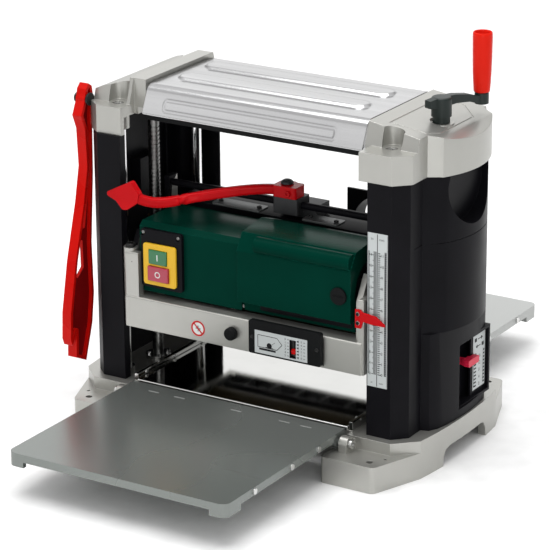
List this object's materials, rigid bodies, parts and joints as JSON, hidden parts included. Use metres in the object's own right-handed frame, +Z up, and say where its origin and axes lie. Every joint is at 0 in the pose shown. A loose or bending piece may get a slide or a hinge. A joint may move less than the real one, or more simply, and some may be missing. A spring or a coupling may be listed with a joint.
{
  "type": "thickness planer",
  "caption": "Portable thickness planer with a crank-raised cutter head on four columns, polished bed, folding tables, side covers, lock lever, gauges and push stick.",
  "frame": {"origin": "the middle of the base's bolt pattern, at the level of its feet", "axes": "+X to the right seen from the infeed side, +Y from the infeed side to the outfeed side, +Z up"},
  "size_m": [0.566, 0.857, 0.573],
  "materials": {
    "grey_paint": "satin silver-grey paint on castings",
    "black_paint": "satin black pressed steel",
    "table_paint": "semi-gloss grey coating on the folding tables",
    "bed_steel": "polished planing surface",
    "cover_steel": "polished pressed cover",
    "column_steel": "ground and polished columns",
    "screw_steel": "bright threaded steel",
    "bolt_steel": "zinc-plated fasteners",
    "dark_steel": "black oxide steel",
    "cast_iron": "grey cast iron",
    "bronze": "sintered bronze",
    "green_plastic": "dark green gloss moulding",
    "black_plastic": "black fine-textured moulding",
    "red_plastic": "red moulding",
    "red_enamel": "red powder coat",
    "yellow_plastic": "yellow moulding",
    "green_button": "translucent green button",
    "label_white": "white printed label",
    "black_rubber": "ribbed rubber belt and rollers"
  },
  "bodies": {
    "root": {"base_casting": "grey_paint", "bed_plate": "bed_steel", "bed_side_guides": "bed_steel", "frame_screws": "bolt_steel", "right_side_cover": "black_paint", "left_side_cover": "black_paint", "right_top_bracket": "grey_paint", "left_top_bracket": "grey_paint", "top_cover": "cover_steel", "cover_strips": "black_plastic", "guide_columns": "column_steel", "collars": "bolt_steel", "lift_chain": "dark_steel", "scale_labels": "label_white", "stick_hook": "dark_steel"},
    "head": {"head_casting": "grey_paint", "rear_frame": "black_paint", "head_bushes": "bronze", "lead_nuts": "bronze", "head_bearings": "bolt_steel", "feed_reducer": "cast_iron", "feed_chain": "dark_steel", "drive_belt": "black_rubber", "motor": "black_plastic", "brush_cap": "black_plastic", "motor_cover": "green_plastic", "switch_plate": "black_paint", "switch_frame": "yellow_plastic", "chip_hood": "dark_steel", "chip_outlet": "black_plastic", "cord_gland": "black_plastic", "lock_block": "cast_iron", "head_rods": "screw_steel", "gauge_housing": "black_plastic", "gauge_label": "label_white", "bar_knob": "black_plastic", "thickness_pointer": "red_enamel", "pointer_screws": "bolt_steel"},
    "crank": {"crank_spindle": "screw_steel", "crank_arm": "green_plastic"},
    "crank_grip": {"crank_handle": "red_plastic"},
    "right_screw": {"right_lead_screw": "screw_steel"},
    "left_screw": {"left_lead_screw": "screw_steel"},
    "cutter": {"cutterblock": "bolt_steel", "knives": "bed_steel"},
    "motor_rotor": {"motor_shaft": "screw_steel"},
    "reducer_output": {"reducer_sprocket": "dark_steel"},
    "front_roller": {"infeed_roller": "black_rubber"},
    "rear_roller": {"outfeed_roller": "black_rubber"},
    "start": {"start_button": "green_button"},
    "stop": {"stop_button": "red_plastic"},
    "lever": {"lock_lever": "red_enamel"},
    "gauge_finger": {"gauge_pointer": "red_plastic"},
    "pawls": {"kickback_pawls": "dark_steel"},
    "infeed": {"infeed_table": "table_paint", "infeed_table_bolts": "bolt_steel"},
    "outfeed": {"outfeed_table": "table_paint", "outfeed_table_bolts": "bolt_steel"},
    "depth_stop": {"stop_slider": "red_plastic"},
    "stick": {"push_stick": "red_plastic"}
  },
  "joints": [
    {"name": "crank_turn", "type": "hinge", "parent": "root", "child": "crank", "pos_m": [0.24, -0.01, 0.44], "axis": [0, 0, 1], "range_deg": [-12610, 13870]},
    {"name": "grip_spin", "type": "hinge", "parent": "crank", "child": "crank_grip", "pos_m": [0.264, 0.056, 0.53], "axis": [0, 0, 1], "continuous": true},
    {"name": "head_lift", "type": "slide", "parent": "root", "child": "head", "axis": [0, 0, 1], "range_m": [-0.07, 0.077]},
    {"name": "right_screw_turn", "type": "hinge", "parent": "root", "child": "right_screw", "pos_m": [0.204, -0.025, 0.2], "axis": [0, 0, 1], "range_deg": [-13870, 12610]},
    {"name": "left_screw_turn", "type": "hinge", "parent": "root", "child": "left_screw", "pos_m": [-0.204, -0.025, 0.2], "axis": [0, 0, 1], "range_deg": [-13870, 12610]},
    {"name": "cutter_spin", "type": "hinge", "parent": "head", "child": "cutter", "pos_m": [0, 0, 0.162], "axis": [1, 0, 0], "continuous": true},
    {"name": "motor_spin", "type": "hinge", "parent": "head", "child": "motor_rotor", "pos_m": [0, -0.07, 0.24], "axis": [1, 0, 0], "continuous": true},
    {"name": "reducer_spin", "type": "hinge", "parent": "head", "child": "reducer_output", "pos_m": [-0.1924, 0, 0.162], "axis": [1, 0, 0], "continuous": true},
    {"name": "infeed_roller_spin", "type": "hinge", "parent": "head", "child": "front_roller", "pos_m": [0, -0.058, 0.152], "axis": [1, 0, 0], "continuous": true},
    {"name": "outfeed_roller_spin", "type": "hinge", "parent": "head", "child": "rear_roller", "pos_m": [0, 0.058, 0.152], "axis": [1, 0, 0], "continuous": true},
    {"name": "start_press", "type": "slide", "parent": "head", "child": "start", "axis": [0, 1, 0], "range_m": [0, 0.003], "stiffness_N_per_m": 800, "springref_m": -0.0005},
    {"name": "stop_press", "type": "slide", "parent": "head", "child": "stop", "axis": [0, 1, 0], "range_m": [0, 0.003], "stiffness_N_per_m": 800, "springref_m": -0.0005},
    {"name": "lock_swing", "type": "hinge", "parent": "head", "child": "lever", "pos_m": [0.01, -0.02, 0.337], "axis": [0, 0, -1], "range_deg": [-35, 0]},
    {"name": "gauge_travel", "type": "slide", "parent": "head", "child": "gauge_finger", "axis": [0, 0, 1], "range_m": [0, 0.004]},
    {"name": "pawl_swing", "type": "hinge", "parent": "head", "child": "pawls", "pos_m": [0, -0.095, 0.164], "axis": [1, 0, 0], "range_deg": [0, 45]},
    {"name": "infeed_fold", "type": "hinge", "parent": "root", "child": "infeed", "pos_m": [0, -0.15, 0.048], "axis": [-1, 0, 0], "range_deg": [0, 78]},
    {"name": "outfeed_fold", "type": "hinge", "parent": "root", "child": "outfeed", "pos_m": [0, 0.15, 0.048], "axis": [1, 0, 0], "range_deg": [0, 78]},
    {"name": "stop_set", "type": "slide", "parent": "root", "child": "depth_stop", "axis": [0, 0, 1], "range_m": [-0.045, 0.025]},
    {"name": "stick_swing", "type": "hinge", "parent": "root", "child": "stick", "pos_m": [-0.265, -0.103, 0.446], "axis": [1, 0, 0], "range_deg": [-20, 20]}
  ],
  "couplings": [
    {"joint": "crank_turn", "follows": "head_lift", "rad_per_m": 3141.6},
    {"joint": "right_screw_turn", "follows": "head_lift", "rad_per_m": -3141.6},
    {"joint": "left_screw_turn", "follows": "head_lift", "rad_per_m": -3141.6},
    {"joint": "motor_spin", "follows": "cutter_spin", "ratio": 1.3333},
    {"joint": "reducer_spin", "follows": "cutter_spin", "ratio": -0.010714},
    {"joint": "infeed_roller_spin", "follows": "cutter_spin", "ratio": -0.01},
    {"joint": "outfeed_roller_spin", "follows": "cutter_spin", "ratio": -0.01}
  ]
}
